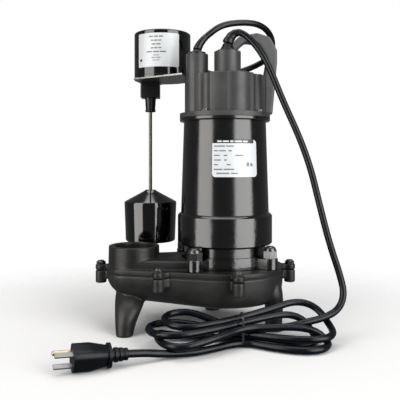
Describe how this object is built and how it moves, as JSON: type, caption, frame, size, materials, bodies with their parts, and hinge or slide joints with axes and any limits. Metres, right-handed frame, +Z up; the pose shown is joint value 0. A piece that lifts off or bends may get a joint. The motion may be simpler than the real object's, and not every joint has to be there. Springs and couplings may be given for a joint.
{
  "type": "submersible sump pump",
  "caption": "Cast-iron submersible sump pump with a vertical float switch, top cord glands, carrying handle and a power cord tied in a hank.",
  "frame": {"origin": "middle of the pump's own bounding box on the floor, without the free power cord", "axes": "+Z up along the motor axis, +Y away from the side with the nameplate, -X towards the discharge port"},
  "size_m": [0.3081, 0.2771, 0.3804],
  "materials": {
    "cast_iron_casing": "satin black paint on cast iron",
    "motor_paint": "glossy black enamel",
    "cover_plastic": "satin dark grey glass-filled plastic",
    "handle_plastic": "satin mid grey plastic",
    "switch_plastic": "glossy black plastic",
    "float_plastic": "glossy black polypropylene",
    "cord_jacket": "satin black jacket",
    "rubber_black": "matte rubber",
    "gasket_rubber": "matte",
    "galvanised_steel": "zinc-plated sheet",
    "stainless_steel": "bright",
    "blackened_steel": "black-coated fasteners",
    "rod_steel": "dull stainless rod",
    "bearing_steel": "ground and polished",
    "lamination_steel": "stacked laminations",
    "winding_copper": "varnished copper wire",
    "seal_ceramic": "white ceramic",
    "impeller_plastic": "glass-filled",
    "capacitor_case": "moulded",
    "label_paper": "white printed film",
    "brass_contact": "bright",
    "nickel_blade": "nickel plated"
  },
  "bodies": {
    "pump": {"bracket_screws": "stainless_steel", "capacitor": "capacitor_case", "carry_handle": "handle_plastic", "casing_gasket": "gasket_rubber", "casing_legs": "cast_iron_casing", "casing_screws": "blackened_steel", "cord_tie": "rubber_black", "cover_gasket": "gasket_rubber", "cover_screws": "stainless_steel", "dome_nuts": "blackened_steel", "handle_screws": "stainless_steel", "housing_studs": "stainless_steel", "lever_pin": "stainless_steel", "lower_bearing_outer_ring": "bearing_steel", "lower_casing": "cast_iron_casing", "microswitch": "capacitor_case", "motor_housing": "motor_paint", "nameplate": "label_paper", "overload_protector": "nickel_blade", "plug_blades": "nickel_blade", "plug_body": "cord_jacket", "plug_ground_pin": "brass_contact", "power_cord_drop": "cord_jacket", "power_cord_gland": "rubber_black", "power_cord_hank": "cord_jacket", "power_cord_tail": "cord_jacket", "rod_boot": "rubber_black", "seal_plate": "cast_iron_casing", "seal_plate_o_ring": "gasket_rubber", "seal_plate_screws": "stainless_steel", "seal_seat": "seal_ceramic", "stator_core": "lamination_steel", "stator_windings": "winding_copper", "stud_washers": "stainless_steel", "switch_base": "switch_plastic", "switch_bracket": "galvanised_steel", "switch_cord": "cord_jacket", "switch_cord_gland": "rubber_black", "switch_housing": "switch_plastic", "switch_label": "label_paper", "switch_side_gland": "rubber_black", "switch_stem": "switch_plastic", "top_cover": "cover_plastic", "upper_bearing_bracket": "cast_iron_casing", "upper_bearing_outer_ring": "bearing_steel", "upper_casing": "cast_iron_casing"},
    "rotor": {"shaft": "stainless_steel", "rotor_core": "lamination_steel", "impeller": "impeller_plastic", "impeller_nut": "stainless_steel", "seal_head": "rubber_black", "seal_spring": "stainless_steel", "lower_bearing_inner_ring": "bearing_steel", "upper_bearing_inner_ring": "bearing_steel", "bearing_balls": "bearing_steel"},
    "rod": {"float_rod": "rod_steel", "float_stop": "rubber_black", "rod_clip": "stainless_steel"},
    "float": {"float": "float_plastic"},
    "lever": {"switch_lever": "stainless_steel"}
  },
  "joints": [
    {"name": "rotor_spin", "type": "hinge", "parent": "pump", "child": "rotor", "pos_m": [0.0365, -0.0028, 0.15], "axis": [0, 0, 1], "continuous": true},
    {"name": "rod_slide", "type": "slide", "parent": "pump", "child": "rod", "axis": [0, 0, 1], "range_m": [0, 0.006]},
    {"name": "float_slide", "type": "slide", "parent": "rod", "child": "float", "axis": [0, 0, 1], "range_m": [0, 0.098]},
    {"name": "lever_tilt", "type": "hinge", "parent": "pump", "child": "lever", "pos_m": [-0.0355, 0.0552, 0.328], "axis": [0, 1, 0], "range_deg": [0, 13]}
  ],
  "couplings": [
    {"joint": "lever_tilt", "follows": "rod_slide", "rad_per_m": 37.5}
  ]
}
